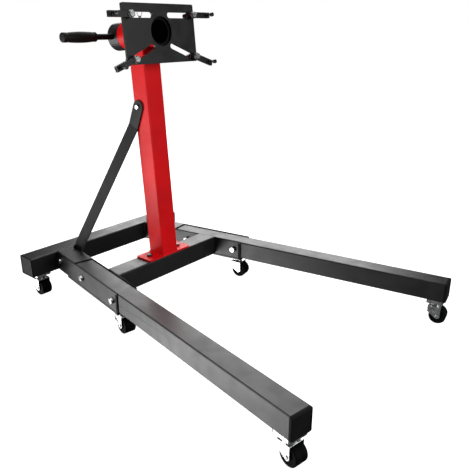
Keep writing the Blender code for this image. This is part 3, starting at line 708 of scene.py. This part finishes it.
def make_rail_shade_strips():
    """A black strip down each wall of a rail, at the end that the leg comes out of: painted shade for the
    dark slit there.
    """
    for side in SIDES:
        axis, forward = leg_directions(side)
        node = f"side_rail_{side}"
        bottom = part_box(node)[0].z + STRIP_FROM_BOTTOM
        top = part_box(node)[1].z - STRIP_FROM_TOP
        end = span(node, forward)[1] - STRIP_FROM_END
        left, right = span(node, -axis)
        for label, wall, out in (("near", left, axis), ("far", right, -axis)):
            centre = forward * (end - STRIP_WIDTH / 2) - axis * wall + UP * (bottom + top) / 2
            bm = bmesh.new()
            slab(bm, centre, forward, UP, out, (STRIP_WIDTH, top - bottom, STRIP_THICKNESS))
            piece(f"rail_shade_strip_{label}_{side}", bm, Matrix.Identity(4), "base", "black_plastic")


def make_brace_lugs():
    """A lug on each rail's top that the brace leans on, with a bolt end standing out of it. Its darkest
    black is also painted shade, for the contact shadow at the brace's foot.
    """
    length, height, depth = BRACE_LUG
    for side, sign in SIDES.items():
        axis, forward = leg_directions(side)
        outward = sign * -axis
        bolt = axis_centre(f"brace_foot_bolt_{side}", outward)
        inner = -span(f"side_rail_{side}", -outward)[1]
        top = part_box(f"side_rail_{side}")[1].z
        place = forward * forward.dot(bolt) + outward * inner + UP * (top + height / 2)
        bm = bmesh.new()
        slab(bm, place, forward, UP, outward, BRACE_LUG)
        bolt_foot = place - forward * (length / 2 - LUG_BOLT_FROM_END) + outward * depth
        turn = axis_frame(bolt_foot, outward)
        bolt_end = hex_rings(LUG_BOLT_FLATS, 0.0, LUG_BOLT_HEIGHT)
        loft(bm, [[turn @ point for point in outline] for outline in bolt_end])
        # Painted shade: the darkest matte black makes the lug stand for the contact shadow at the brace's
        # foot as well.
        piece(f"brace_lug_{side}", bm, Matrix.Identity(4), "base", "black_coat", MATTE_AND_SHADE)


def make_arm_end_shades():
    """A thin black sheet in the square end of each mounting arm: painted shade for the hollow of the open
    tube.
    """
    front = -joint_axis("head_turn")
    for level in LEVELS:
        for side in SIDES:
            node = f"arm_{level}_{side}"
            pivot = joint_place(f"arm_swivel_{level}_{side}")
            reach = Vector(mounts[f"engine_stud_{level}_{side}"]["pos_m"]) - pivot
            along = (reach - reach.dot(front) * front).normalized()
            aside = pivot - pivot.dot(along) * along - pivot.dot(front) * front
            centre = along * span(node, along)[1] + front * (front.dot(pivot) + ARM_STANDOFF) + aside
            bm = bmesh.new()
            slab(bm, centre, front, along.cross(front), along, ARM_END_SHADE)
            piece(f"arm_end_shade_{level}_{side}", bm, Matrix.Identity(4), body_of(node), "black_plastic")


def dress_frame_nodes():
    """Every frame node gets its coat, and those that are still shown get broken edges as well."""
    slots = {entry["node"]: entry["material_slot"] for entry in frame["record"]["subparts"]}
    # Painted shade and light: the spindle and handle rod get the darkest matte black, which paints shade
    # into the spindle's bore; the braces get a lighter copy of the black coat, so that they read evenly
    # lit.
    special = {"head_spindle": MATTE_AND_SHADE, "handle_rod": MATTE_AND_SHADE, "brace_left": BRACE, "brace_right": BRACE}
    for name, obj in nodes.items():
        obj.data.materials.clear()
        obj.data.materials.append(special.get(name, COATS[slots[name]]))
        if obj.hide_render:
            continue
        merge = obj.modifiers.new("merge", "WELD")
        merge.merge_threshold = MERGE_DISTANCE
        edge = obj.modifiers.new("edge", "BEVEL")
        edge.width = BEVEL_WIDTH
        edge.segments = 2
        edge.limit_method = "ANGLE"
        edge.angle_limit = BEVEL_ANGLE
        edge.harden_normals = True


# Stage


def make_stage():
    """A pale floor, as on a light table: it shows in no reflection, bounces no light and blocks none.

    One softbox stands below it and shines up through it.
    """
    bpy.ops.mesh.primitive_circle_add(
        vertices=96, radius=FLOOR_RADIUS, fill_type="NGON", location=(0, 0, -FLOOR_DROP)
    )
    floor = bpy.context.object
    floor.name = "studio_floor"
    surface = Recipe("studio_floor", specular=0.0)
    tone = surface.ramp(surface.noise(3), [(0.3, (0.50, 0.50, 0.50)), (0.7, (0.52, 0.52, 0.52))])
    surface.shader.inputs["Emission Color"].default_value = (1, 1, 1, 1)
    surface.shader.inputs["Emission Strength"].default_value = FLOOR_GLOW
    surface.bump([(surface.noise(30), 0.02, 0.001)])
    floor.data.materials.append(surface.finish(tone, surface.spread(surface.noise(8), 0.85, 0.95)))
    floor.visible_glossy = False
    floor.visible_diffuse = False
    floor.visible_shadow = False


def make_lights():
    for name, (place, size, power) in SOFTBOXES.items():
        data = bpy.data.lights.new(name, "AREA")
        data.shape = "SQUARE"
        data.size = size
        data.energy = power
        light = bpy.data.objects.new(name, data)
        bpy.context.scene.collection.objects.link(light)
        light.location = place
        light.rotation_euler = (LIGHT_TARGET - Vector(place)).to_track_quat("-Z", "Y").to_euler()
        light.visible_camera = False


def make_world():
    """A background that is white where the camera sees it and lights the object only faintly."""
    world = bpy.data.worlds.new("studio")
    world.use_nodes = True
    tree = world.node_tree
    background = tree.nodes["Background"]
    background.inputs["Color"].default_value = (1, 1, 1, 1)
    seen = tree.nodes.new("ShaderNodeLightPath").outputs["Is Camera Ray"]
    strength = tree.nodes.new("ShaderNodeMapRange")
    strength.inputs["To Min"].default_value = AMBIENT
    tree.links.new(seen, strength.inputs["Value"])
    tree.links.new(strength.outputs["Result"], background.inputs["Strength"])
    bpy.context.scene.world = world
    bpy.context.scene.view_settings.view_transform = "Standard"


def make_camera():
    data = bpy.data.cameras.new("camera")
    data.lens = CAMERA_LENS
    data.sensor_width = CAMERA_SENSOR
    camera = bpy.data.objects.new("camera", data)
    bpy.context.scene.collection.objects.link(camera)
    camera.location = CAMERA_PLACE
    camera.rotation_euler = (CAMERA_PITCH, 0, CAMERA_TURN)
    bpy.context.scene.camera = camera


make_camera()
make_bolts()
for side, sign in SIDES.items():
    for position in CASTERS:
        make_wheel(position, side)
        make_caster_screws(position, side)
    make_cap(f"leg_cap_{side}", f"leg_{side}", leg_directions(side)[1])
    make_cap(f"rear_beam_cap_{side}", "rear_crossbeam", sign * RIGHT)
make_grip()
make_lock_pin()
make_post_welds()
make_frame_welds()
make_rail_shade_strips()
make_brace_lugs()
make_arm_end_shades()
dress_frame_nodes()
make_stage()
make_lights()
make_world()
